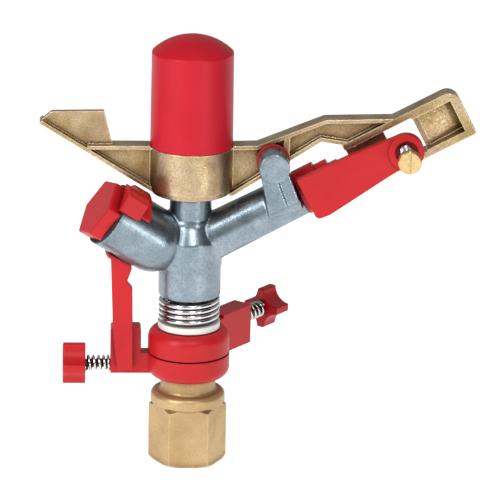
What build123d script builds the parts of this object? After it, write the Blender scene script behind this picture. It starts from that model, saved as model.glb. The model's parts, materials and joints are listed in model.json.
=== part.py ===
from build123d import *
import os
from math import asin, cos, pi, radians, sin

os.makedirs("parts", exist_ok=True)

# A part-circle impact sprinkler for a 3/4 inch pipe, in millimetres. The origin is on the
# spindle axis at the bottom face of the inlet nut, +Z up, +X along the nozzle barrel.

# Clearances
GAP = 0.4  # between pieces that pass each other
RUN = 0.05  # radial clearance of a running fit

# Inlet nut, female 3/4 inch pipe thread below and a plain swivel neck above
HEX_FLATS = 32.0
HEX_TOP = 28.0
THREAD_R = 13.22
THREAD_DEPTH = 18.0
SHOULDER_R = 17.6
SHOULDER_TOP = 34.6
NECK_R = 13.1
NECK_TOP = 66.2
SEAL_R = 12.0
SEAL_TOP = 25.0

# Swivel tube, its seals and the thrust pieces above the neck
TUBE_R = 9.0
TUBE_BORE = 6.5
TUBE_FLANGE_R = 11.5
TUBE_FOOT = 18.6
SEAL_FOOT = 21.0
THRUST_TOP = 69.1
THRUST_R = 14.7
BODY_FOOT = 81.8

# Body casting
BARREL_R = 14.7
SLEEVE_R = 15.1
SLEEVE_FOOT = 96.6
STEP_R = 10.4
POST_R = 9.9
NECK_SEAT = 130.9
TUBE_TOP = 95.0
JET_Z = 105.0  # where the nozzle axis crosses the spindle axis
JET_RISE = 27.75  # degrees
JET_BORE = 7.5
JET_END = 58.3  # along the nozzle axis
REAR_Z = 98.2
REAR_RISE = 33.0
REAR_AZIMUTH = 192.0
REAR_R = 15.5
REAR_START = 22.0  # centre of the tube's round inner end
REAR_BORE = 11.0
REAR_END = 46.0
PIN_R = 4.0

# Hammer arm
HUB_R = 19.3
HUB_FOOT = 131.7
HUB_TOP = 154.9
FLANGE = 1.8
FLANGE_HALF = 4.8
WEB = 2.6

# Cap over the arm spring
CAP_R = 19.35
CAP_RIM = 155.2
CAP_SHOULDER = 200.1
CAP_RISE = 7.8
CAP_WALL = 1.6
RETAINER_FOOT = 187.0
RETAINER_TOP = 192.0

# Sector collars and their lock screws
COLLAR_R = 19.5
COLLAR_FOOT = 41.8
COLLAR_H = 11.6
LOCK_R = 1.8
LOCK_TRAVEL = 3.0
PAD_R = 3.2
KNOB_TIP = 9.8
KNOB_WAIST = 6.0

AXIS_Z = Axis.Z
jet_dir = Vector(cos(radians(JET_RISE)), 0, sin(radians(JET_RISE)))
jet_up = Vector(-sin(radians(JET_RISE)), 0, cos(radians(JET_RISE)))
jet_start = Vector(0, 0, JET_Z)
rear_flat = cos(radians(REAR_RISE))
rear_dir = Vector(
    rear_flat * cos(radians(REAR_AZIMUTH)),
    rear_flat * sin(radians(REAR_AZIMUTH)),
    sin(radians(REAR_RISE)),
)
rear_up = Vector(
    -sin(radians(REAR_RISE)) * cos(radians(REAR_AZIMUTH)),
    -sin(radians(REAR_RISE)) * sin(radians(REAR_AZIMUTH)),
    rear_flat,
)
# Across the nozzle axis, along it seen from the near side, and across the rear tube's axis
JET = Plane(origin=jet_start, x_dir=jet_up, z_dir=jet_dir)
SIDE = Plane(origin=jet_start, x_dir=jet_dir, z_dir=(0, -1, 0))
REAR = Plane(origin=(0, 0, REAR_Z), x_dir=rear_up, z_dir=rear_dir)


def keep(piece, label):
    """Label a finished piece and write its file."""
    piece.part.label = label
    export_step(piece.part, f"parts/{label}.step")


def circles_at(piece, radius, z):
    """Circular edges round the spindle axis with this radius and height."""
    found = piece.edges().filter_by(GeomType.CIRCLE)
    return found.filter_by(
        lambda e: abs(e.arc_center.Z - z) < 0.01 and abs(e.radius - radius) < 0.01
    )


def turned(*points, mode=Mode.ADD):
    """Turn an outline of (radius, height) points round the spindle axis."""
    with BuildSketch(Plane.XZ) as outline:
        with BuildLine():
            Polyline(*points, close=True)
        make_face()
    revolve(outline.sketch, axis=AXIS_Z, mode=mode)


def dome(radius, foot, rise):
    """Draw an arc from a rim up to the spindle axis, centred on that axis."""
    ball = (radius**2 + rise**2) / (2 * rise)
    half = asin(radius / ball) / 2
    middle = (ball * sin(half), foot + rise - ball + ball * cos(half))
    ThreePointArc((radius, foot), middle, (0, foot + rise))


def washer(label, outer, inner, foot, top):
    """A flat ring round the spindle axis."""
    with BuildPart() as ring:
        turned((inner, foot), (outer, foot), (outer, top), (inner, top))
    keep(ring, label)


def coil(label, plane, mean_r, wire_r, length, turns):
    """A round-wire coil spring that stands on a plane, measured over its wire."""
    height = length - 2 * wire_r
    start = plane.origin + plane.z_dir * wire_r
    with BuildPart() as spring:
        with BuildLine() as path:
            Helix(height / turns, height, mean_r, center=start, direction=plane.z_dir)
        with BuildSketch(Plane(origin=path.line @ 0, z_dir=path.line % 0)):
            Circle(wire_r)
        sweep(is_frenet=True)
    keep(spring, label)


# ---- Inlet nut -------------------------------------------------------------------------
corner_r = HEX_FLATS / 2 / cos(pi / 6)
flat_r = HEX_FLATS / 2 + 0.5
with BuildPart() as inlet_nut:
    with BuildSketch(Plane.XY):
        RegularPolygon(HEX_FLATS / 2, 6, major_radius=False)
    extrude(amount=HEX_TOP)
    # Turned corners at both ends of the hexagon
    turned(
        (0, 0), (flat_r, 0), (corner_r, 1.1), (corner_r, HEX_TOP - 1.1),
        (flat_r, HEX_TOP), (0, HEX_TOP), mode=Mode.INTERSECT,
    )
    turned(
        (0, HEX_TOP - 1), (HEX_FLATS / 2 - 0.2, HEX_TOP - 1), (SHOULDER_R, HEX_TOP + 1.2),
        (SHOULDER_R, SHOULDER_TOP), (NECK_R, SHOULDER_TOP), (NECK_R, NECK_TOP), (0, NECK_TOP),
    )
    fillet(circles_at(inlet_nut, SHOULDER_R, SHOULDER_TOP), 2.3)
    fillet(circles_at(inlet_nut, NECK_R, SHOULDER_TOP), 1.6)
    chamfer(circles_at(inlet_nut, NECK_R, NECK_TOP), 0.6)
    # Pipe thread's bore, the seal chamber, then the swivel bore
    turned(
        (0, 0), (THREAD_R, 0), (THREAD_R, THREAD_DEPTH),
        (SEAL_R, THREAD_DEPTH), (SEAL_R, SEAL_TOP), (TUBE_R + RUN, SEAL_TOP),
        (TUBE_R + RUN, NECK_TOP), (0, NECK_TOP), mode=Mode.SUBTRACT,
    )
keep(inlet_nut, "inlet_nut")

# ---- Swivel: tube, seals, thrust washer and thrust spring ------------------------------
with BuildPart() as swivel_tube:
    turned(
        (TUBE_BORE, TUBE_FOOT), (TUBE_FLANGE_R, TUBE_FOOT), (TUBE_FLANGE_R, SEAL_FOOT - 0.1),
        (TUBE_R, SEAL_FOOT - 0.1), (TUBE_R, TUBE_TOP), (TUBE_BORE, TUBE_TOP),
    )
keep(swivel_tube, "swivel_tube")
washer("lower_seal_washer", SEAL_R - 0.1, TUBE_R + RUN, SEAL_FOOT, SEAL_FOOT + 1)
washer("rubber_seal", SEAL_R - 0.1, TUBE_R + RUN, SEAL_FOOT + 1, SEAL_FOOT + 3)
washer("upper_seal_washer", SEAL_R - 0.1, TUBE_R + RUN, SEAL_FOOT + 3, SEAL_TOP)
washer("thrust_washer", THRUST_R, TUBE_R + RUN, NECK_TOP, THRUST_TOP)
THRUST_WIRE = 1.0
coil(
    "thrust_spring", Plane.XY.offset(THRUST_TOP + GAP), THRUST_R - THRUST_WIRE, THRUST_WIRE,
    BODY_FOOT - THRUST_TOP - GAP - 0.05, 3.6,
)

# ---- Body casting ----------------------------------------------------------------------
BOSS_X = 38.0
BOSS_Z = 149.3
BOSS_R = 7.1
POST_BACK = 6.4  # how far the bumper post's back face stands on the near side
BOSS_FRONT = 20.6
BUMPER_STEM_R = 3.0
bracket_reach = 36.0
with BuildPart() as body_casting:
    turned(
        (0, BODY_FOOT), (BARREL_R, BODY_FOOT), (BARREL_R, SLEEVE_FOOT), (SLEEVE_R, SLEEVE_FOOT),
        (SLEEVE_R, 110), (STEP_R + 0.6, 116.6), (STEP_R, 117.4), (STEP_R, 119.2),
        (POST_R, 119.8), (POST_R, NECK_SEAT), (0, NECK_SEAT),
    )
    chamfer(circles_at(body_casting, BARREL_R, BODY_FOOT), 0.8)
    with BuildSketch(REAR.offset(REAR_START)):
        Circle(REAR_R)
    extrude(amount=REAR_END - REAR_START)
    with Locations(REAR.offset(REAR_START)):
        Sphere(REAR_R)
    with BuildSketch(JET):
        Circle(11.3)
    with BuildSketch(JET.offset(JET_END)):
        Circle(10.4)
    loft()
    # Bumper post: a plate on the near side of the nozzle barrel that ends in a round boss
    with BuildSketch(Plane.XZ.offset(POST_BACK)):
        with BuildLine():
            Polyline((31.1, 147.5), (36.0, 124.5), (50.5, 131.5), (44.2, 148.0), close=True)
        make_face()
    extrude(amount=7.0)
    with BuildSketch(Plane.XZ.offset(POST_BACK)):
        with BuildLine():
            Polyline((36.4, 122.5), (52.0, 127.5), (50.6, 132.5), (44.6, 143.5), (34.0, 140.0), close=True)
        make_face()
    extrude(amount=5.2)
    with BuildSketch(Plane.XZ.offset(POST_BACK)):
        with Locations((BOSS_X, BOSS_Z)):
            Circle(BOSS_R)
    extrude(amount=BOSS_FRONT - POST_BACK)
    # The groove between the post's two ribs
    with BuildSketch(Plane.XZ.offset(POST_BACK + 6.1)):
        with BuildLine():
            Polyline((40.0, 141.5), (42.0, 141.8), (46.4, 129.6), (44.9, 128.8), close=True)
        make_face()
    extrude(amount=3, mode=Mode.SUBTRACT)
    # Bracket behind the rear tube for the trip lever's spring
    with BuildSketch(REAR.offset(17.5)):
        with Locations((0, (bracket_reach + 12) / 2)):
            Rectangle(8, bracket_reach - 12)
    extrude(amount=4.5)
    with BuildSketch(REAR.offset(17.5)):
        with Locations((0, bracket_reach - 2)):
            Rectangle(8, 4)
    extrude(amount=23)
    # Water passages, the plugged rear port and the blind hole for the fulcrum pin
    turned(
        (0, BODY_FOOT), (TUBE_R, BODY_FOOT), (TUBE_R, TUBE_TOP), (TUBE_BORE, TUBE_TOP),
        (TUBE_BORE, JET_Z), (0, JET_Z), mode=Mode.SUBTRACT,
    )
    with Locations(jet_start):
        Sphere(JET_BORE, mode=Mode.SUBTRACT)
    with BuildSketch(JET):
        Circle(JET_BORE)
    extrude(amount=JET_END, mode=Mode.SUBTRACT)
    with BuildSketch(REAR):
        Circle(TUBE_BORE)
    extrude(amount=REAR_END, mode=Mode.SUBTRACT)
    with BuildSketch(REAR.offset(REAR_START)):
        Circle(REAR_BORE)
    extrude(amount=REAR_END - REAR_START, mode=Mode.SUBTRACT)
    turned((0, 119), (PIN_R, 119), (PIN_R, NECK_SEAT), (0, NECK_SEAT), mode=Mode.SUBTRACT)
    with BuildSketch(Plane.XZ.offset(POST_BACK)):
        with Locations((BOSS_X, BOSS_Z)):
            Circle(BUMPER_STEM_R)
    extrude(amount=8, mode=Mode.SUBTRACT)
keep(body_casting, "body_casting")

# ---- Bumper, a plastic button that the arm comes to rest on ----------------------------
with BuildPart() as bumper:
    with BuildSketch(Plane.XZ.offset(FLANGE_HALF + 0.15)):
        with Locations((BOSS_X, BOSS_Z)):
            Circle(7.8)
    extrude(amount=POST_BACK - FLANGE_HALF - 0.15)
    with BuildSketch(Plane.XZ.offset(POST_BACK)):
        with Locations((BOSS_X, BOSS_Z)):
            Circle(BUMPER_STEM_R)
    extrude(amount=7.5)
keep(bumper, "bumper")

# ---- Rear plug and gasket --------------------------------------------------------------
GASKET = 1.0
PLUG_FLATS = 27.0
PLUG_TURN = 44.0  # degrees from the tube's upper side to a corner
PLUG_END = 53.5
with BuildPart() as plug_gasket:
    with BuildSketch(REAR.offset(REAR_END)):
        Circle(15.3)
        Circle(REAR_BORE, mode=Mode.SUBTRACT)
    extrude(amount=GASKET)
keep(plug_gasket, "plug_gasket")
with BuildPart() as rear_plug:
    with BuildSketch(REAR.offset(REAR_END + GASKET)):
        RegularPolygon(PLUG_FLATS / 2, 6, major_radius=False, rotation=PLUG_TURN)
        fillet(vertices(), 1.6)
    extrude(amount=PLUG_END - REAR_END - GASKET)
    fillet(rear_plug.faces().sort_by(Axis(REAR.origin, rear_dir))[-1].edges(), 0.9)
    with BuildSketch(REAR.offset(34)):
        Circle(REAR_BORE)
        Circle(8, mode=Mode.SUBTRACT)
    extrude(amount=REAR_END + GASKET - 34)
keep(rear_plug, "rear_plug")

# ---- Nozzle: straightener, shroud with its side plate, brass insert --------------------
with BuildPart() as flow_straightener:
    with BuildSketch(JET.offset(18)):
        Circle(JET_BORE)
        Circle(JET_BORE - 0.7, mode=Mode.SUBTRACT)
        Rectangle(2 * JET_BORE - 0.7, 0.8)
        Rectangle(0.8, 2 * JET_BORE - 0.7)
    extrude(amount=26)
keep(flow_straightener, "flow_straightener")

INSERT_R = 5.2
INSERT_START = 62.0
SHROUD_END = 80.2
PLATE_BACK = 12.5
PLATE_FRONT = 16.5
BREAKER_S = 112.0  # where the jet breaker crosses the jet, along the nozzle axis
BREAKER_R = 2.0
BREAKER_TIP = 10.0
with BuildPart() as main_nozzle:
    with BuildSketch(JET.offset(INSERT_START)):
        Circle(INSERT_R)
    extrude(amount=SHROUD_END - INSERT_START - 0.6)
    with BuildSketch(JET.offset(INSERT_START)):
        Circle(4.6)
    with BuildSketch(JET.offset(INSERT_START + 12)):
        Circle(2.75)
    loft(mode=Mode.SUBTRACT)
    with BuildSketch(JET.offset(INSERT_START + 12)):
        Circle(2.75)
    extrude(amount=10, mode=Mode.SUBTRACT)
keep(main_nozzle, "main_nozzle")

with BuildPart() as nozzle_shroud:
    for foot, end, radius in ((47, JET_END, JET_BORE), (JET_END, 69, 10.9), (69, 75.5, 9.2),
                              (75.5, SHROUD_END, 6.9)):
        with BuildSketch(JET.offset(foot)):
            Circle(radius)
        extrude(amount=end - foot)
    # Side plate: tall at the nozzle, tapering to a round boss beside the jet
    with BuildSketch(SIDE.offset(PLATE_BACK)):
        with BuildLine():
            Polyline((60.5, 10.7), (86.8, 10.0), (BREAKER_S, 8.2), (BREAKER_S, -6.4),
                     (104, -6.6), (67.0, -11.2), (60.5, -10.6), close=True)
        make_face()
        fillet(vertices().sort_by_distance((60.5, -10.6, 0))[0:1], 2.5)
        with Locations((BREAKER_S, 0)):
            Circle(8.2)
    extrude(amount=PLATE_FRONT - PLATE_BACK)
    # Block that carries the plate on the nozzle's collar
    with BuildSketch(SIDE.offset(4)):
        with Locations((65.4, 0)):
            Rectangle(7.2, 17)
    extrude(amount=PLATE_BACK - 4)
    with BuildSketch(SIDE.offset(PLATE_FRONT)):
        with Locations((BREAKER_S, 0)):
            Circle(8.2)
    extrude(amount=2.2)
    with BuildSketch(SIDE.offset(PLATE_FRONT - 1.0)):
        with Locations((BREAKER_S, 0)):
            Circle(5.4)
    extrude(amount=5, mode=Mode.SUBTRACT)
    with BuildSketch(SIDE.offset(PLATE_BACK)):
        with Locations((BREAKER_S, 0)):
            Circle(BREAKER_R + RUN)
    extrude(amount=8, mode=Mode.SUBTRACT)
    with BuildSketch(JET.offset(47)):
        Circle(5.6)
    extrude(amount=INSERT_START - 47, mode=Mode.SUBTRACT)
    with BuildSketch(JET.offset(INSERT_START)):
        Circle(INSERT_R)
    extrude(amount=30, mode=Mode.SUBTRACT)
keep(nozzle_shroud, "nozzle_shroud")

# ---- Jet breaker: slotted screw, washer and spring on the side plate -------------------
HEAD_BACK = 32.4
breaker = Plane(origin=SIDE.from_local_coords((BREAKER_S, 0, 0)), x_dir=(1, 0, 0), z_dir=(0, -1, 0))
with BuildPart() as jet_breaker_screw:
    with BuildSketch(breaker.offset(BREAKER_TIP + 3)):
        Circle(BREAKER_R)
    extrude(amount=HEAD_BACK - BREAKER_TIP - 3)
    with BuildSketch(breaker.offset(BREAKER_TIP)):
        Circle(0.5)
    with BuildSketch(breaker.offset(BREAKER_TIP + 3)):
        Circle(BREAKER_R)
    loft()
    with BuildSketch(breaker.offset(HEAD_BACK)):
        Circle(5.4)
    extrude(amount=3.8)
    chamfer(jet_breaker_screw.faces().sort_by(Axis.Y)[0].edges(), 0.5)
    with BuildSketch(breaker.offset(HEAD_BACK + 2.4)):
        Rectangle(1.2, 12)
    extrude(amount=3, mode=Mode.SUBTRACT)
keep(jet_breaker_screw, "jet_breaker_screw")
with BuildPart() as jet_breaker_washer:
    with BuildSketch(breaker.offset(HEAD_BACK - 1.1)):
        Circle(4.2)
        Circle(BREAKER_R + RUN, mode=Mode.SUBTRACT)
    extrude(amount=1.0)
keep(jet_breaker_washer, "jet_breaker_washer")
coil("jet_breaker_spring", breaker.offset(PLATE_FRONT - 0.9), 2.9, 0.45, 15.4, 7)

# ---- Fulcrum pin and what it carries under the cap -------------------------------------
with BuildPart() as fulcrum_pin:
    turned((0, 119), (PIN_R, 119), (PIN_R, 195), (PIN_R - 1, 196), (0, 196))
keep(fulcrum_pin, "fulcrum_pin")
washer("hub_washer", 8.5, PIN_R, NECK_SEAT + 0.05, HUB_FOOT - 0.15)
washer("lower_arm_bush", 5.5, PIN_R + RUN, HUB_FOOT, HUB_FOOT + 8)
washer("upper_arm_bush", 5.5, PIN_R + RUN, 152, 160)
cap_inner = CAP_R - 0.25 - CAP_WALL
with BuildPart() as spring_retainer:
    turned(
        (PIN_R, RETAINER_FOOT), (cap_inner, RETAINER_FOOT), (cap_inner, RETAINER_TOP),
        (cap_inner - 2, RETAINER_TOP), (cap_inner - 4, RETAINER_FOOT + 3),
        (PIN_R, RETAINER_FOOT + 3),
    )
keep(spring_retainer, "spring_retainer")
with BuildPart() as spindle_nut:
    with BuildSketch(Plane.XY.offset(RETAINER_FOOT + 3)):
        RegularPolygon(6.5, 6, major_radius=False)
        Circle(PIN_R, mode=Mode.SUBTRACT)
    extrude(amount=5)
keep(spindle_nut, "spindle_nut")
coil("arm_return_spring", Plane.XY.offset(141.2), 11, 0.9, RETAINER_FOOT - 141.4, 10)

# ---- Cap: a tall domed cup pressed over the retainer -----------------------------------
with BuildPart() as cap:
    with BuildSketch(Plane.XZ):
        with BuildLine():
            Polyline((0, CAP_RIM), (CAP_R, CAP_RIM), (CAP_R - 0.25, CAP_SHOULDER))
            dome(CAP_R - 0.25, CAP_SHOULDER, CAP_RISE)
            Line((0, CAP_SHOULDER + CAP_RISE), (0, CAP_RIM))
        make_face()
    revolve(axis=AXIS_Z)
    fillet(circles_at(cap, CAP_R - 0.25, CAP_SHOULDER), 1.3)
    with BuildSketch(Plane.XZ):
        with BuildLine():
            Polyline((0, CAP_RIM), (CAP_R - CAP_WALL, CAP_RIM), (cap_inner, RETAINER_FOOT),
                     (cap_inner, CAP_SHOULDER - 1))
            dome(cap_inner, CAP_SHOULDER - 1, CAP_RISE + 1 - CAP_WALL)
            Line((0, CAP_SHOULDER + CAP_RISE - CAP_WALL), (0, CAP_RIM))
        make_face()
    revolve(axis=AXIS_Z, mode=Mode.SUBTRACT)
keep(cap, "cap")

# ---- Hammer arm ------------------------------------------------------------------------
half_web = WEB / 2


def band(*points, thick=FLANGE, half=FLANGE_HALF):
    """A flange of even thickness that follows a line of (X, Z) points."""
    with BuildSketch(Plane.XZ) as strip:
        with BuildLine():
            Polyline(*points)
        trace(line_width=thick)
    extrude(strip.sketch, amount=half, both=True)


def plate(*points, half=half_web, mode=Mode.ADD):
    """A flat plate in the arm's own plane, from its (X, Z) corners."""
    with BuildSketch(Plane.XZ) as outline:
        with BuildLine():
            Polyline(*points, close=True)
        make_face()
    extrude(outline.sketch, amount=half, both=True, mode=mode)


FRAME_HALF = 5.0
with BuildPart() as hammer_arm:
    # Right beam: web between an upper and a lower flange
    plate((15, 133.5), (20.6, 133.5), (60.2, 159.3), (73.9, 157.0), (92, 166), (93, 168.6),
          (62.3, 167.9), (30.8, 155.2), (15, 154.8))
    band((12, 154.7), (30.8, 155.2), (62.2, 167.8), (93.5, 168.5))
    band((18, 131.8), (60.1, 159.3), (76.5, 156.7))
    plate((43, 147.5), (45.6, 149.2), (45.6, 161.5), (43, 160.5), half=FLANGE_HALF)
    # Left beam and the counterweight wing that stands on it
    plate((-15, 134.5), (-19.0, 134.9), (-70.4, 166.9), (-65.2, 171.2), (-40.9, 171.6),
          (-36.9, 155.0), (-15, 154.8), half=1.5)
    band((-12, 154.7), (-48.5, 154.7))
    band((-17.0, 133.8), (-72.0, 168.0), half=FRAME_HALF)
    # The tip is cut along the wing's upper left edge
    plate((-74, 160), (-70.6, 166.7), (-65.2, 171.2), (-66, 176), (-74, 176), half=FRAME_HALF + 1,
          mode=Mode.SUBTRACT)
    with BuildSketch(Plane.XZ.offset(-10)):
        with Locations((-46.7, 156.6)):
            Circle(0.8)
    extrude(amount=20, mode=Mode.SUBTRACT)
    # Spoon frame along the jet: two bars and an end bar
    with BuildSketch(SIDE.offset(-FRAME_HALF)):
        with BuildLine():
            Polyline((79, -10.6), (144.5, -10.6), (144.5, 13.3), (86, 13.3), (86, 10.2),
                     (120.5, 10.2), (120.5, 9.2), (140.2, 9.2), (140.2, -7.2), (120.5, -7.2),
                     (120.5, -7.8), (79, -7.8), close=True)
        make_face()
        fillet(vertices().sort_by_distance((144.5, 13.3, 0))[0:1], 6.0)
    extrude(amount=2 * FRAME_HALF)
    # Vane on the far side and the hollow spoon face that throws the arm round
    with BuildSketch(SIDE.offset(-FRAME_HALF)):
        with BuildLine():
            Polyline((86, -9), (105.5, -9), (105.5, 11), (86, 11), close=True)
        make_face()
    extrude(amount=2.0)
    with BuildSketch(Plane(origin=jet_start - jet_up * 7.4, x_dir=jet_dir, z_dir=jet_up)):
        with BuildLine():
            Polyline((120.3, FRAME_HALF), (123, 0.6), (140.4, 3.2), (140.4, FRAME_HALF), close=True)
        make_face()
    extrude(amount=16.8)
    # Room for the cap's rim, then the hub with its spring cup and bush bores
    turned((0, HUB_TOP), (HUB_R + 0.45, HUB_TOP), (HUB_R + 0.45, 175), (0, 175), mode=Mode.SUBTRACT)
    turned((0, 100), (80, 100), (80, HUB_FOOT), (0, HUB_FOOT), mode=Mode.SUBTRACT)
    turned((0, HUB_FOOT), (HUB_R - 3.4, HUB_FOOT), (HUB_R - 1.0, HUB_FOOT + 1.1),
           (HUB_R, HUB_FOOT + 3.6), (HUB_R, HUB_TOP), (0, HUB_TOP))
    turned((0, 140.7), (15.5, 140.7), (15.5, HUB_TOP), (0, HUB_TOP), mode=Mode.SUBTRACT)
    turned((0, 135), (7.5, 135), (7.5, 160), (0, 160))
    turned((0, HUB_FOOT), (5.5, HUB_FOOT), (5.5, HUB_FOOT + 8), (PIN_R + 1, HUB_FOOT + 8),
           (PIN_R + 1, 152), (5.5, 152), (5.5, 160), (0, 160), mode=Mode.SUBTRACT)
keep(hammer_arm, "hammer_arm")

# ---- Trip lever: a sling round the rear tube with a tooth above and a bar below --------
SLING_IN = REAR_R + GAP
SLING_OUT = 17.9
SLING_MID = 35.4
TOOTH_START = 38.5
TOOTH_END = 49.5
with BuildPart() as trip_lever:
    with BuildSketch(REAR.offset(15)):
        Circle(SLING_OUT)
        Circle(SLING_IN, mode=Mode.SUBTRACT)
        # Open on the near side
        with BuildLine():
            Polyline((0, 0), (30 * cos(radians(62)), -30 * sin(radians(62))), (-30, -30),
                     (-30, -3.0), (0, -3.0), close=True)
        make_face(mode=Mode.SUBTRACT)
    extrude(amount=40)
    # Lug for the over-centre spring on the far side
    with BuildSketch(REAR.offset(15)):
        with Locations((0, 20)):
            Rectangle(7, 4.6)
    extrude(amount=40)
    # Keep only a slice of the sling that leans with the bar
    with BuildSketch(Plane(origin=REAR.origin, x_dir=rear_up, z_dir=REAR.y_dir).offset(-30)):
        with BuildLine():
            Polyline((25, -36.4), (25, -43.7), (-25, -35.0), (-25, -26.5), close=True)
        make_face()
    extrude(amount=70, mode=Mode.INTERSECT)
    # The tooth that the arm's wing strikes when the lever is tripped. It reaches over the plug.
    with BuildSketch(REAR.offset(TOOTH_START)):
        with BuildLine():
            Polyline(*[(r * cos(radians(t)), -r * sin(radians(t)))
                       for r, t in ((17.2, 70), (19.4, 68), (23.0, 50), (22.0, 40), (19.8, 28),
                                    (17.9, 16), (17.2, 16))], close=True)
        make_face()
    extrude(amount=TOOTH_END - TOOTH_START)
    # Room for the arm's left beam, which swings over the sling
    turned((10, 131.2), (17.5, 131.2), (60, 131.2 + 42.5 * 0.62), (60, 180), (10, 180), mode=Mode.SUBTRACT)
    # The bar that meets the collars' stops
    with BuildSketch(Plane.XZ.offset(4.4)):
        with BuildLine():
            Polyline((-37.4, 106.0), (-36.0, 66.3), (-33.8, 46.5), (-26.4, 46.5), (-27.0, 87.1),
                     (-29.7, 90.4), (-27.4, 96.9), (-28.6, 106.0), close=True)
        make_face()
    extrude(amount=5.2)
    with BuildSketch(REAR.offset(10)):
        Circle(SLING_IN - 0.1)
    extrude(amount=60, mode=Mode.SUBTRACT)
keep(trip_lever, "trip_lever")
lug_face = REAR.from_local_coords((0, 22.4, SLING_MID))
coil("trip_lever_spring", Plane(origin=lug_face, z_dir=REAR.y_dir), 2.8, 0.45,
     bracket_reach - 4 - 22.5, 6)

# ---- Sector collars, each with a stop arm and a spring-loaded lock screw ---------------
UPPER_AZIMUTH = 51.0
LOWER_AZIMUTH = 180.0
UPPER_FOOT = COLLAR_FOOT + COLLAR_H + 0.7


def outward(azimuth, z):
    """The plane across a lock screw's axis: its normal points out, its x axis up."""
    a = radians(azimuth)
    return Plane(origin=(0, 0, z), x_dir=(0, 0, 1), z_dir=(cos(a), sin(a), 0))


def block(screw, low, high, half, start, end):
    """A bar along a screw's axis, between two heights measured from that axis."""
    with BuildSketch(screw.offset(start)) as section:
        with Locations(((low + high) / 2, 0)):
            Rectangle(high - low, 2 * half)
    extrude(section.sketch, amount=end - start)


def screw_way(screw, reach):
    """The pad's pocket and the screw's hole through a collar and its arm."""
    with BuildSketch(screw.offset(8)) as pocket:
        Circle(PAD_R + RUN)
    extrude(pocket.sketch, amount=NECK_R + 0.3 + 1.7 + LOCK_TRAVEL + 0.3 - 8, mode=Mode.SUBTRACT)
    with BuildSketch(screw.offset(8)) as hole:
        Circle(LOCK_R + RUN)
    extrude(hole.sketch, amount=reach, mode=Mode.SUBTRACT)


def collar_ring(foot, outer):
    turned((NECK_R + RUN, foot), (outer, foot), (outer, foot + COLLAR_H),
           (NECK_R + RUN, foot + COLLAR_H))


lower_screw = outward(LOWER_AZIMUTH, 47.2)
upper_screw = outward(UPPER_AZIMUTH, 60.0)
with BuildPart() as lower_collar:
    collar_ring(COLLAR_FOOT, COLLAR_R)
    fillet(circles_at(lower_collar, COLLAR_R, COLLAR_FOOT), 5.0)
    block(lower_screw, -3.6, 6.2, 4, 16.5, 37)
    block(lower_screw, -3.6, 19.2, 4, 22.6, 37)
    fillet(lower_collar.edges().filter_by(Axis.Y).group_by(Axis.Z)[-1], 1.4)
    screw_way(lower_screw, 40)
    turned((0, 40), (NECK_R + RUN, 40), (NECK_R + RUN, 60), (0, 60), mode=Mode.SUBTRACT)
keep(lower_collar, "lower_collar")
with BuildPart() as upper_collar:
    collar_ring(UPPER_FOOT, COLLAR_R - 0.2)
    fillet(circles_at(upper_collar, COLLAR_R - 0.2, UPPER_FOOT + COLLAR_H), 5.0)
    block(upper_screw, UPPER_FOOT - 60, 5.2, 4.95, 16.5, 43)
    block(upper_screw, -12.5, 6.8, 4.95, 21, 43)
    screw_way(upper_screw, 40)
    turned((0, 40), (NECK_R + RUN, 40), (NECK_R + RUN, 70), (0, 70), mode=Mode.SUBTRACT)
keep(upper_collar, "upper_collar")

for side, screw, arm_end, knob_in, thick, turn in (
    ("lower", lower_screw, 37.0, 48.8, 10.8, 45),
    ("upper", upper_screw, 43.0, 57.6, 10.2, 0),
):
    # At rest each screw is backed off by its travel, so the collar can be turned
    pad_foot = NECK_R + 0.3 + LOCK_TRAVEL
    with BuildPart() as friction_pad:
        with BuildSketch(screw.offset(pad_foot - 1)):
            Circle(PAD_R)
        extrude(amount=2.6)
        cylinder_r = NECK_R + 0.3
        with Locations(Plane(origin=screw.origin + screw.z_dir * LOCK_TRAVEL)):
            Cylinder(cylinder_r, 40, mode=Mode.SUBTRACT)
    keep(friction_pad, f"{side}_friction_pad")
    with BuildPart() as lock_screw:
        with BuildSketch(screw.offset(pad_foot + 1.65)):
            Circle(LOCK_R)
        extrude(amount=knob_in + thick - 2 - pad_foot - 1.65)
    keep(lock_screw, f"{side}_lock_screw")
    with BuildPart() as lock_knob:
        with BuildSketch(screw.offset(knob_in)):
            with BuildLine(Rotation(0, 0, turn)):
                for step in range(4):
                    a = step * 90
                    tip = Vector(KNOB_TIP, 2).rotate(AXIS_Z, a)
                    waist = Vector(KNOB_WAIST, 0).rotate(AXIS_Z, a + 45)
                    mate = Vector(KNOB_TIP, -2).rotate(AXIS_Z, a + 90)
                    Line(Vector(KNOB_TIP, -2).rotate(AXIS_Z, a), tip)
                    ThreePointArc(tip, waist, mate)
            make_face()
            fillet(vertices(), 0.8)
        extrude(amount=thick)
        chamfer(lock_knob.faces().sort_by(Axis(screw.origin, screw.z_dir))[-1].edges(), 0.5)
        with BuildSketch(screw.offset(knob_in)):
            Circle(LOCK_R)
        extrude(amount=thick - 2, mode=Mode.SUBTRACT)
    keep(lock_knob, f"{side}_lock_knob")
    coil(f"{side}_lock_spring", screw.offset(arm_end + 0.05), 3.4, 0.6, knob_in - arm_end - 0.15, 4.5)
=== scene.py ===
import json
import math

import bmesh
import bpy
from mathutils import Matrix, Vector


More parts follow.
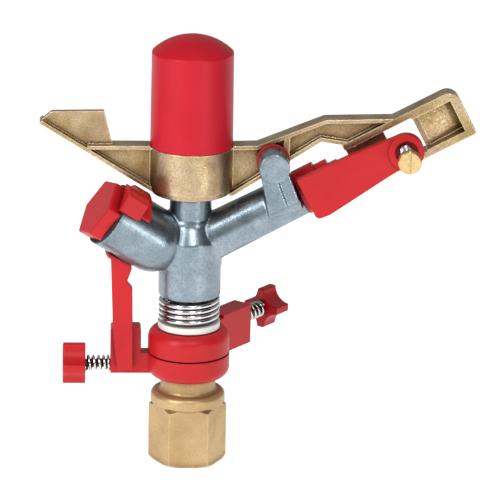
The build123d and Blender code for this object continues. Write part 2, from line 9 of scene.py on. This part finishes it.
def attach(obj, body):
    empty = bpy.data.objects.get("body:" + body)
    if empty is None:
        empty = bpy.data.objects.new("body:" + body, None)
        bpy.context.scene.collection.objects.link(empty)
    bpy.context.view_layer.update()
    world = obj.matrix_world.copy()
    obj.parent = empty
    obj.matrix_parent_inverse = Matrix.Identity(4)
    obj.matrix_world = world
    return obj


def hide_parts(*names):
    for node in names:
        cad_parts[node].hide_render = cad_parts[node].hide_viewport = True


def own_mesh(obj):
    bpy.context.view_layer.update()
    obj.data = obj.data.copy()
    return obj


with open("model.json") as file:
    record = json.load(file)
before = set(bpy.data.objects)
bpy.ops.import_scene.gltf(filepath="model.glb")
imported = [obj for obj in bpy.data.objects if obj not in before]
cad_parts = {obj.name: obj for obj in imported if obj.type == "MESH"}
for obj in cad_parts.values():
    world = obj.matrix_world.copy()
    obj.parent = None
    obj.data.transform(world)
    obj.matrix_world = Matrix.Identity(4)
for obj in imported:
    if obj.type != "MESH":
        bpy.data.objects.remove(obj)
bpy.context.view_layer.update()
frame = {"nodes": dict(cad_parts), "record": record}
nodes = frame["nodes"]
MM = 0.001
UP = Vector((0, 0, 1))


# ---- Camera ----------------------------------------------------------------------------
VIEW_AZIMUTH = math.radians(-3.0)  # 0 looks along +Y; negative stands towards -X
VIEW_ELEVATION = math.radians(17.6)
VIEW_ROLL = math.radians(1.18)
VIEW_DISTANCE = 1.8
VIEW_WIDTH = 0.2355  # metres across the frame at the aim point
AIM = Vector((0.0283, 0.0, 0.1037))
SENSOR = 36.0

WORLD_LIGHT = 0.36
KEY_POWER = 10.5
RIM_POWER = 3.6
FILL_POWER = 2.2
STREAK_POWER = 1.2  # a narrow strip whose reflection runs along the rear tube
STUDIO_AIM = (0.02, 0, 0.11)  # the middle of the object, which the lights and cards face
CARD_SHADE = 0.02
FLOOR_SHADE = 0.93
FLOOR_HALF = 4.0
FLOOR_DROP = 0.0005
FLOOR_GLOW = 0.62  # keeps the floor near white without flooding the object


def make_camera():
    data = bpy.data.cameras.new("camera")
    camera = bpy.data.objects.new("camera", data)
    bpy.context.scene.collection.objects.link(camera)
    flat = math.cos(VIEW_ELEVATION)
    towards = Vector((
        -math.sin(VIEW_AZIMUTH) * flat,
        math.cos(VIEW_AZIMUTH) * flat,
        -math.sin(VIEW_ELEVATION),
    ))
    turn = towards.to_track_quat("-Z", "Y").to_matrix().to_4x4()
    roll = Matrix.Rotation(VIEW_ROLL, 4, "Z")
    camera.matrix_world = Matrix.Translation(AIM - towards * VIEW_DISTANCE) @ turn @ roll
    data.sensor_width = SENSOR
    data.lens = SENSOR * VIEW_DISTANCE / VIEW_WIDTH
    data.clip_end = 20
    bpy.context.scene.camera = camera


# ---- Studio ----------------------------------------------------------------------------
def towards_studio(place):
    """The turn that makes something at a place face the object."""
    return (Vector(STUDIO_AIM) - Vector(place)).to_track_quat("-Z", "Y").to_euler()


def area_light(name, place, size, power):
    data = bpy.data.lights.new(name, "AREA")
    data.shape = "RECTANGLE"
    data.size, data.size_y = size
    data.energy = power
    light = bpy.data.objects.new(name, data)
    bpy.context.scene.collection.objects.link(light)
    light.location = place
    light.rotation_euler = towards_studio(place)


def flat_panel(name, width, height):
    x, y = width / 2, height / 2
    mesh = bpy.data.meshes.new(name)
    mesh.from_pydata([(-x, -y, 0), (x, -y, 0), (x, y, 0), (-x, y, 0)], [], [(0, 1, 2, 3)])
    panel = bpy.data.objects.new(name, mesh)
    bpy.context.scene.collection.objects.link(panel)
    return panel


def card(name, place, size):
    """A matt dark card beside the object that its bright metal and plastic reflect."""
    panel = flat_panel(name, *size)
    panel.location = place
    panel.rotation_euler = towards_studio(place)
    panel.data.materials.append(plain_paint(name, CARD_SHADE))
    panel.visible_camera = False


def plain_paint(name, shade, glow=0.0):
    paint = bpy.data.materials.new(name)
    paint.use_nodes = True
    shader = paint.node_tree.nodes["Principled BSDF"]
    shader.inputs["Base Color"].default_value = (shade, shade, shade, 1)
    shader.inputs["Roughness"].default_value = 0.9
    shader.inputs["Specular IOR Level"].default_value = 0.1
    shader.inputs["Emission Color"].default_value = (1, 1, 1, 1)
    shader.inputs["Emission Strength"].default_value = glow
    return paint


def make_studio():
    world = bpy.data.worlds.new("studio")
    world.use_nodes = True
    background = world.node_tree.nodes["Background"]
    background.inputs["Color"].default_value = (1, 1, 1, 1)
    background.inputs["Strength"].default_value = WORLD_LIGHT
    bpy.context.scene.world = world
    bpy.context.scene.view_settings.view_transform = "Standard"
    area_light("key", (-0.85, -0.85, 0.75), (0.35, 0.9), KEY_POWER)
    area_light("rim", (0.15, -0.75, 0.95), (0.25, 0.5), RIM_POWER)
    area_light("fill", (0.9, -0.8, 0.3), (0.5, 0.9), FILL_POWER)
    area_light("streak", (0.55, -0.78, 0.04), (0.09, 0.3), STREAK_POWER)
    card("dark_right", (0.75, -0.35, 0.25), (0.7, 1.2))
    card("dark_left", (-0.8, 0.1, 0.25), (0.5, 1.2))
    card("dark_front", (-0.12, -1.1, -0.05), (0.5, 0.5))
    floor = flat_panel("floor", 2 * FLOOR_HALF, 2 * FLOOR_HALF)
    floor.location.z = -FLOOR_DROP
    floor.data.materials.append(plain_paint("floor_white", FLOOR_SHADE, glow=FLOOR_GLOW))


# ---- Materials -------------------------------------------------------------------------
class Finish:
    """A node material that is built up from noise layers in the object's own space."""

    def __init__(self, name, roughness, metallic=0.0, specular=0.5):
        self.material = bpy.data.materials.new(name)
        self.material.use_nodes = True
        self.tree = self.material.node_tree
        self.shader = self.tree.nodes["Principled BSDF"]
        self.shader.inputs["Roughness"].default_value = roughness
        self.shader.inputs["Metallic"].default_value = metallic
        self.shader.inputs["Specular IOR Level"].default_value = specular
        self.place = self.tree.nodes.new("ShaderNodeTexCoord").outputs["Object"]
        self.normal = None

    def node(self, kind, **inputs):
        made = self.tree.nodes.new(kind)
        for key, value in inputs.items():
            socket = made.inputs[key.replace("_", " ")]
            if hasattr(value, "is_output"):
                self.tree.links.new(value, socket)
            else:
                socket.default_value = value
        return made

    def noise(self, scale, detail=2.0, rough=0.5, stretch=None):
        place = self.place
        if stretch:
            mapping = self.node("ShaderNodeMapping", Vector=place, Scale=stretch)
            place = mapping.outputs["Vector"]
        made = self.node("ShaderNodeTexNoise", Vector=place, Scale=scale, Detail=detail, Roughness=rough)
        return made.outputs["Fac"]

    def ramp(self, fac, *stops):
        made = self.node("ShaderNodeValToRGB", Fac=fac)
        elements = made.color_ramp.elements
        while len(elements) < len(stops):
            elements.new(0.5)
        for element, (place, colour) in zip(elements, stops):
            element.position = place
            element.color = (*colour, 1) if len(colour) == 3 else colour
        return made.outputs["Color"]

    def mix(self, fac, a, b, blend="MIX"):
        made = self.tree.nodes.new("ShaderNodeMix")
        made.data_type = "RGBA"
        made.blend_type = blend
        for socket, value in ((made.inputs[0], fac), (made.inputs[6], a), (made.inputs[7], b)):
            if hasattr(value, "is_output"):
                self.tree.links.new(value, socket)
            elif isinstance(value, (int, float)):
                socket.default_value = value
            else:
                socket.default_value = (*value, 1)
        return made.outputs[2]

    def spread(self, fac, low, high, out_low=0.0, out_high=1.0):
        made = self.node("ShaderNodeMapRange", Value=fac)
        for key, value in (("From Min", low), ("From Max", high), ("To Min", out_low), ("To Max", out_high)):
            made.inputs[key].default_value = value
        return made.outputs["Result"]

    def edges(self, radius, low=0.02, high=0.25):
        """Near 1 along each edge, worked out from how a rounded normal leaves the true one: the mask for
        painted highlights.
        """
        rounded = self.node("ShaderNodeBevel", Radius=radius)
        rounded.samples = 4
        true = self.tree.nodes.new("ShaderNodeNewGeometry").outputs["Normal"]
        dot = self.tree.nodes.new("ShaderNodeVectorMath")
        dot.operation = "DOT_PRODUCT"
        self.tree.links.new(rounded.outputs["Normal"], dot.inputs[0])
        self.tree.links.new(true, dot.inputs[1])
        return self.spread(dot.outputs["Value"], 1 - low, 1 - high)

    def painted_corner_shade(self, reach, low=0.35, high=0.95):
        """Near 1 deep in corners and between parts, from ambient occlusion: the mask for painted shade."""
        made = self.node("ShaderNodeAmbientOcclusion", Distance=reach)
        made.samples = 8
        return self.spread(made.outputs["AO"], high, low)

    def colour(self, value):
        self.link(value, "Base Color")

    def link(self, value, key):
        socket = self.shader.inputs[key]
        if hasattr(value, "is_output"):
            self.tree.links.new(value, socket)
        else:
            socket.default_value = (*value, 1) if isinstance(value, tuple) else value

    def round_edges(self, radius):
        rounded = self.node("ShaderNodeBevel", Radius=radius)
        rounded.samples = 4
        self.normal = rounded.outputs["Normal"]
        self.link(self.normal, "Normal")

    def bump(self, height, distance, strength=1.0):
        made = self.node("ShaderNodeBump", Height=height, Distance=distance, Strength=strength)
        if self.normal is not None:
            self.tree.links.new(self.normal, made.inputs["Normal"])
        self.normal = made.outputs["Normal"]
        self.link(self.normal, "Normal")


def cast_brass():
    """Sand-cast golden brass with a grainy satin skin, painted shade in its corners and painted highlights
    along each edge.
    """
    f = Finish("cast_brass", 0.42, metallic=0.75)
    grain = f.noise(1500, detail=3)
    cloud = f.noise(60, detail=4)
    base = f.ramp(cloud, (0.3, (0.46, 0.31, 0.14)), (0.55, (0.58, 0.41, 0.20)), (0.8, (0.66, 0.50, 0.28)))
    base = f.mix(f.spread(grain, 0.35, 0.75), base, f.mix(0.5, base, (0.36, 0.22, 0.10)))
    # painted shade: dark brown in corners and between parts
    base = f.mix(f.painted_corner_shade(0.005), base, (0.16, 0.09, 0.035))
    # painted highlight: light gold along each edge
    f.colour(f.mix(f.edges(0.0006, low=0.01, high=0.2), base, (0.90, 0.72, 0.46)))
    f.link(f.spread(grain, 0.3, 0.7, 0.34, 0.55), "Roughness")
    f.round_edges(0.0003)
    f.bump(grain, 0.00006, 0.8)
    f.bump(cloud, 0.0004, 0.25)
    return f.material


def arm_brass():
    """Dull passivated casting, mottled olive, gold and pink, with painted shade in its corners and bright
    orange painted highlights along each edge.
    """
    f = Finish("arm_brass", 0.34, metallic=0.92)
    grain = f.noise(1300, detail=3)
    cloud = f.noise(70, detail=5, rough=0.6)
    blush = f.noise(38, detail=4)
    base = f.ramp(cloud, (0.30, (0.26, 0.17, 0.07)), (0.5, (0.45, 0.33, 0.16)), (0.72, (0.62, 0.51, 0.32)))
    base = f.mix(f.spread(blush, 0.44, 0.66, 0, 0.5), base, (0.55, 0.38, 0.30))
    base = f.mix(f.spread(grain, 0.48, 0.72, 0, 0.5), base, (0.17, 0.12, 0.055))
    # painted shade: dark brown in corners and between parts
    base = f.mix(f.painted_corner_shade(0.009, low=0.35, high=0.98), base, (0.15, 0.08, 0.025))
    # painted highlight: bright orange along each edge
    f.colour(f.mix(f.edges(0.0009, low=0.01, high=0.12), base, (1.0, 0.80, 0.54)))
    f.link(f.spread(grain, 0.3, 0.7, 0.24, 0.42), "Roughness")
    f.round_edges(0.0005)
    f.bump(grain, 0.00006, 0.9)
    f.bump(cloud, 0.0004, 0.2)
    return f.material


def turned_brass():
    """Bright lathe-turned brass with faint rings and handling marks."""
    f = Finish("turned_brass", 0.28, metallic=1.0)
    marks = f.noise(700, detail=2)
    tone = f.noise(120, detail=3)
    f.colour(f.ramp(tone, (0.3, (0.60, 0.42, 0.18)), (0.7, (0.74, 0.56, 0.29))))
    f.link(f.spread(marks, 0.3, 0.7, 0.22, 0.4), "Roughness")
    f.round_edges(0.0002)
    f.bump(marks, 0.00002, 0.5)
    return f.material


def bronze():
    """Sintered bronze, brown and open-pored."""
    f = Finish("bronze", 0.5, metallic=1.0)
    pores = f.noise(2500, detail=2)
    f.colour(f.ramp(pores, (0.35, (0.22, 0.12, 0.05)), (0.6, (0.48, 0.30, 0.15))))
    f.bump(pores, 0.00004, 0.6)
    return f.material


def grey_casting():
    """Die-cast alloy, blue-grey and satin, with coarse sparkling grain, painted shade in its corners and
    brighter painted highlights along each edge.
    """
    f = Finish("grey_casting", 0.3, metallic=0.9)
    grain = f.noise(1100, detail=3)
    cloud = f.noise(55, detail=5, rough=0.6)
    base = f.ramp(cloud, (0.3, (0.17, 0.22, 0.26)), (0.55, (0.27, 0.33, 0.38)), (0.78, (0.42, 0.48, 0.52)))
    base = f.mix(f.spread(grain, 0.45, 0.75, 0, 0.6), base, (0.11, 0.15, 0.17))
    # painted shade: near black blue-grey in corners and between parts
    base = f.mix(f.painted_corner_shade(0.005, low=0.25, high=0.85), base, (0.07, 0.09, 0.10))
    # painted highlight: light cyan-grey along each edge
    f.colour(f.mix(f.edges(0.0007, low=0.01, high=0.16), base, (0.80, 0.84, 0.85)))
    f.link(f.spread(cloud, 0.3, 0.7, 0.22, 0.36), "Roughness")
    f.round_edges(0.0008)
    f.bump(grain, 0.00005, 0.9)
    f.bump(cloud, 0.0006, 0.3)
    return f.material


def steel():
    """Turned steel, drawn along its length; its dark tone is partly painted shade for where it shows between
    spring turns, and its corners carry painted shade.
    """
    f = Finish("steel", 0.3, metallic=1.0)
    marks = f.noise(900, detail=2, stretch=(1, 1, 0.2))
    # dark tone: steel colour, darkened as painted shade for the gaps between spring turns
    tone = f.ramp(marks, (0.3, (0.10, 0.10, 0.10)), (0.7, (0.20, 0.20, 0.205)))
    # painted shade: near black in corners and between parts
    f.colour(f.mix(f.painted_corner_shade(0.003), tone, (0.02, 0.02, 0.02)))
    f.link(f.spread(marks, 0.3, 0.7, 0.24, 0.42), "Roughness")
    f.round_edges(0.0002)
    return f.material


def chrome_wire():
    """Bright plated spring wire, with near-black painted shade where its turns close up."""
    f = Finish("chrome_wire", 0.14, metallic=1.0)
    marks = f.noise(800, detail=2)
    tone = f.ramp(marks, (0.35, (0.62, 0.62, 0.63)), (0.65, (0.76, 0.75, 0.74)))
    # painted shade: near black in corners and where the turns close up
    f.colour(f.mix(f.painted_corner_shade(0.0015, low=0.3, high=0.8), tone, (0.03, 0.028, 0.025)))
    f.link(f.spread(marks, 0.3, 0.7, 0.10, 0.24), "Roughness")
    return f.material


def moulded(name, dark, light, roughness, specular, grain_depth, corner=0.0004):
    """Moulded plastic: slow tone change, fine skin, painted shade in its inner corners and slightly lighter
    painted highlights on its rounded outer corners.
    """
    f = Finish(name, roughness, specular=specular)
    tone = f.noise(35, detail=3)
    skin = f.noise(2200, detail=2)
    base = f.ramp(tone, (0.3, dark), (0.7, light))
    # painted highlight tone for the rounded outer corners
    painted_highlight_tone = tuple(min(1.0, c * 1.15 + 0.01) for c in light)
    # painted shade: darker in inner corners and between parts
    base = f.mix(f.painted_corner_shade(0.004, low=0.2, high=0.9), base, tuple(c * 0.35 for c in dark))
    # painted highlight: lighter along each edge
    f.colour(f.mix(f.edges(0.0005), base, painted_highlight_tone))
    f.link(f.spread(tone, 0.3, 0.7, roughness - 0.05, roughness + 0.06), "Roughness")
    f.round_edges(corner)
    f.bump(skin, grain_depth, 0.6)
    return f.material


def red_plastic():
    dark, light = (0.44, 0.006, 0.010), (0.54, 0.011, 0.015)
    return moulded("red_plastic", dark, light, 0.38, 0.30, 0.00004, corner=0.0008)


def red_cap():
    dark, light = (0.44, 0.003, 0.014), (0.52, 0.005, 0.020)
    return moulded("red_cap", dark, light, 0.40, 0.25, 0.00005)


def white_nylon():
    dark, light = (0.74, 0.74, 0.70), (0.82, 0.82, 0.79)
    return moulded("white_nylon", dark, light, 0.45, 0.4, 0.00002)


def black_rubber():
    return moulded("black_rubber", (0.012, 0.012, 0.012), (0.022, 0.022, 0.022), 0.6, 0.3, 0.00003)


FINISHES = {
    "cast_brass": cast_brass,
    "arm_brass": arm_brass,
    "turned_brass": turned_brass,
    "bronze": bronze,
    "grey_casting": grey_casting,
    "steel": steel,
    "chrome_wire": chrome_wire,
    "red_plastic": red_plastic,
    "red_cap": red_cap,
    "white_nylon": white_nylon,
    "black_rubber": black_rubber,
}
made_finishes = {}


def finish(slot):
    if slot not in made_finishes:
        made_finishes[slot] = FINISHES[slot]()
    return made_finishes[slot]


def dress_nodes():
    for row in frame["record"]["subparts"]:
        mesh = nodes[row["node"]].data
        mesh.materials.clear()
        mesh.materials.append(finish(row["material_slot"]))


# ---- Mesh helpers ----------------------------------------------------------------------
def add_piece(name, verts, faces, body, slot, smooth=True):
    mesh = bpy.data.meshes.new(name)
    mesh.from_pydata(verts, [], faces)
    mesh.update()
    shape = bmesh.new()
    shape.from_mesh(mesh)
    bmesh.ops.recalc_face_normals(shape, faces=shape.faces)
    shape.to_mesh(mesh)
    shape.free()
    if smooth:
        mesh.polygons.foreach_set("use_smooth", [True] * len(mesh.polygons))
    mesh.materials.append(finish(slot))
    piece = bpy.data.objects.new(name, mesh)
    bpy.context.scene.collection.objects.link(piece)
    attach(piece, body)
    return piece


def sweep(sections):
    """Verts and faces of a tube through a list of closed sections, capped at both ends."""
    count = len(sections[0])
    verts = [p for section in sections for p in section]
    faces = []
    for i in range(len(sections) - 1):
        for j in range(count):
            k = (j + 1) % count
            a, b = i * count, (i + 1) * count
            faces.append((a + j, a + k, b + k, b + j))
    faces.append(tuple(range(count))[::-1])
    last = (len(sections) - 1) * count
    faces.append(tuple(last + j for j in range(count)))
    return verts, faces


def axis_frame(origin, axis):
    axis = Vector(axis).normalized()
    side = axis.orthogonal().normalized()
    return Vector(origin), side, axis.cross(side), axis


def coil_spring(name, node, body, foot, axis, length, mean_r, wire_r, turns, slot="chrome_wire",
                closed=1.0, ground=False, sides=12, steps=36):
    """A coil spring with closed end turns, from its foot along an axis, in millimetres."""
    origin, u, v, w = axis_frame(Vector(foot) * MM, axis)
    pitch_end = 2 * wire_r * 1.02
    free = turns - 2 * closed
    pitch_mid = (length - 2 * wire_r - 2 * closed * pitch_end) / free
    count = int(turns * steps)
    sections = []
    for i in range(count + 1):
        t = turns * i / count
        if t < closed:
            rise = pitch_end * t
        elif t > turns - closed:
            rise = length - 2 * wire_r - pitch_end * (turns - t)
        else:
            rise = pitch_end * closed + pitch_mid * (t - closed)
        angle = 2 * math.pi * t
        out = u * math.cos(angle) + v * math.sin(angle)
        centre_h = wire_r + rise
        ring = []
        for j in range(sides):
            a = 2 * math.pi * j / sides
            height = centre_h + wire_r * math.sin(a)
            if ground:
                height = min(max(height, wire_r * 0.35), length - wire_r * 0.35)
            radius = mean_r + wire_r * math.cos(a)
            ring.append(origin + out * radius * MM + w * height * MM)
        sections.append(ring)
    verts, faces = sweep(sections)
    piece = add_piece(name, verts, faces, body, slot)
    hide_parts(node)
    return piece


def thread_ridge(name, body, foot, axis, start, end, root_r, crest_r, pitch, slot, steps=40):
    """A triangular thread on a rod or in a bore, tapering away at both ends, in millimetres."""
    origin, u, v, w = axis_frame(Vector(foot) * MM, axis)
    turns = (end - start) / pitch
    count = int(turns * steps)
    sections = []
    for i in range(count + 1):
        t = turns * i / count
        fade = min(1.0, t * 2, (turns - t) * 2)
        fade = max(fade, 0.02)
        angle = 2 * math.pi * t
        out = u * math.cos(angle) + v * math.sin(angle)
        height = start + pitch * t
        crest = root_r + (crest_r - root_r) * fade
        half = pitch * 0.42 * fade
        ring = [
            origin + out * root_r * MM + w * (height - half) * MM,
            origin + out * crest * MM + w * (height - half * 0.2) * MM,
            origin + out * crest * MM + w * (height + half * 0.2) * MM,
            origin + out * root_r * MM + w * (height + half) * MM,
        ]
        sections.append(ring)
    verts, faces = sweep(sections)
    return add_piece(name, verts, faces, body, slot, smooth=False)


SKIN_KEEP = 0.35  # the share of the fine grid's triangles that a skin keeps


def soft_skin(name, node, body, slot, voxel, rounds):
    """A casting's skin: the CAD piece with its inside corners blended and outside ones rounded."""
    rough = bpy.data.objects.new(f"{name}_rough", nodes[node].data.copy())
    bpy.context.scene.collection.objects.link(rough)
    rough.matrix_world = nodes[node].matrix_world
    grid = rough.modifiers.new("grid", "REMESH")
    grid.mode = "VOXEL"
    grid.voxel_size = voxel
    relax = rough.modifiers.new("relax", "SMOOTH")
    relax.factor = 0.5
    relax.iterations = rounds
    thin = rough.modifiers.new("thin", "DECIMATE")
    thin.ratio = SKIN_KEEP
    ready = rough.evaluated_get(bpy.context.evaluated_depsgraph_get())
    mesh = bpy.data.meshes.new_from_object(ready)
    mesh.name = name
    mesh.transform(rough.matrix_world)
    bpy.data.objects.remove(rough)
    mesh.polygons.foreach_set("use_smooth", [True] * len(mesh.polygons))
    mesh.materials.clear()
    mesh.materials.append(finish(slot))
    piece = bpy.data.objects.new(name, mesh)
    bpy.context.scene.collection.objects.link(piece)
    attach(piece, body)
    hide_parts(node)
    return piece


# ---- Pieces ----------------------------------------------------------------------------
# Sizes and places in millimetres, as on the CAD pieces that these stand on
UPPER_AZIMUTH = math.radians(51)
LOWER_OUT = Vector((-1, 0, 0))
UPPER_OUT = Vector((math.cos(UPPER_AZIMUTH), math.sin(UPPER_AZIMUTH), 0))
NEAR = Vector((0, -1, 0))

THRUST_FOOT, THRUST_LENGTH = 69.15, 12.6
RETURN_FOOT, RETURN_LENGTH = 141.0, 45.8
LOCK_MEAN_R, LOCK_WIRE_R, LOCK_TRAVEL = 3.4, 0.6, 3.0
LOCKS = (  # side, way out, height, the spring's foot and length along the screw
    ("lower", LOWER_OUT, 47.2, 37.0, 11.75),
    ("upper", UPPER_OUT, 60.0, 43.0, 14.55),
)
LOCK_THREAD_START = 20.0
LOCK_PITCH = 1.5

JET_HEIGHT = 105.0  # where the nozzle's axis crosses the spindle's
JET_RISE = math.radians(27.75)
BREAKER_ALONG = 112.0  # from there to the jet breaker's screw
BREAKER_SPRING, BREAKER_TRAVEL = 15.6, 7.0  # the spring's foot and its length are the same
BREAKER_THREAD = (13.2, 32.0)
BREAKER_PITCH = 1.0

INLET_THREAD = (1.2, 17.2)
INLET_MAJOR_R, INLET_MINOR_R, INLET_PITCH = 13.24, 12.06, 1.814


def make_body_springs():
    coil_spring("thrust_spring_wire", "thrust_spring", "head", (0, 0, THRUST_FOOT), UP, THRUST_LENGTH,
                13.45, 1.15, 4.1, closed=0.55, ground=True, sides=14, steps=48)
    coil_spring("arm_return_spring_wire", "arm_return_spring", "head", (0, 0, RETURN_FOOT), UP,
                RETURN_LENGTH, 11.0, 0.9, 11.5, closed=1.0)


def make_locks():
    for side, out, height, start, length in LOCKS:
        screw_foot = Vector((0, 0, height))
        foot = screw_foot + out * start
        spring = coil_spring(f"{side}_lock_spring_wire", f"{side}_lock_spring", f"{side}_sector", foot,
                             out, length, LOCK_MEAN_R, LOCK_WIRE_R, 5.0, closed=0.6)
        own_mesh(spring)
        thread_ridge(f"{side}_lock_screw_thread", f"{side}_lock", screw_foot, out, LOCK_THREAD_START,
                     start + length - 0.2, 1.79, 2.1, LOCK_PITCH, "steel")


def make_jet_breaker():
    along = Vector((math.cos(JET_RISE), 0, math.sin(JET_RISE)))
    middle = Vector((0, 0, JET_HEIGHT)) + along * BREAKER_ALONG
    foot = middle + NEAR * BREAKER_SPRING
    spring = coil_spring("jet_breaker_spring_wire", "jet_breaker_spring", "head", foot, NEAR,
                         BREAKER_SPRING, 2.9, 0.45, 8.5, closed=0.9)
    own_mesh(spring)
    thread_ridge("jet_breaker_thread", "breaker_screw", middle, NEAR, *BREAKER_THREAD, 1.99, 2.25,
                 BREAKER_PITCH, "turned_brass")


def make_inlet_thread():
    thread_ridge("inlet_thread", "root", (0, 0, 0), UP, *INLET_THREAD, INLET_MAJOR_R, INLET_MINOR_R,
                 INLET_PITCH, "cast_brass", steps=64)


def make_skins():
    coarse, fine = 0.0005, 0.0003
    soft_skin("body_casting_skin", "body_casting", "head", "grey_casting", coarse, rounds=7)
    soft_skin("trip_lever_skin", "trip_lever", "trip", "red_plastic", fine, rounds=4)
    for side in ("lower", "upper"):
        soft_skin(f"{side}_knob_skin", f"{side}_lock_knob", f"{side}_lock", "red_plastic", fine, rounds=5)


make_camera()
make_studio()
dress_nodes()
make_body_springs()
make_locks()
make_jet_breaker()
make_inlet_thread()
make_skins()
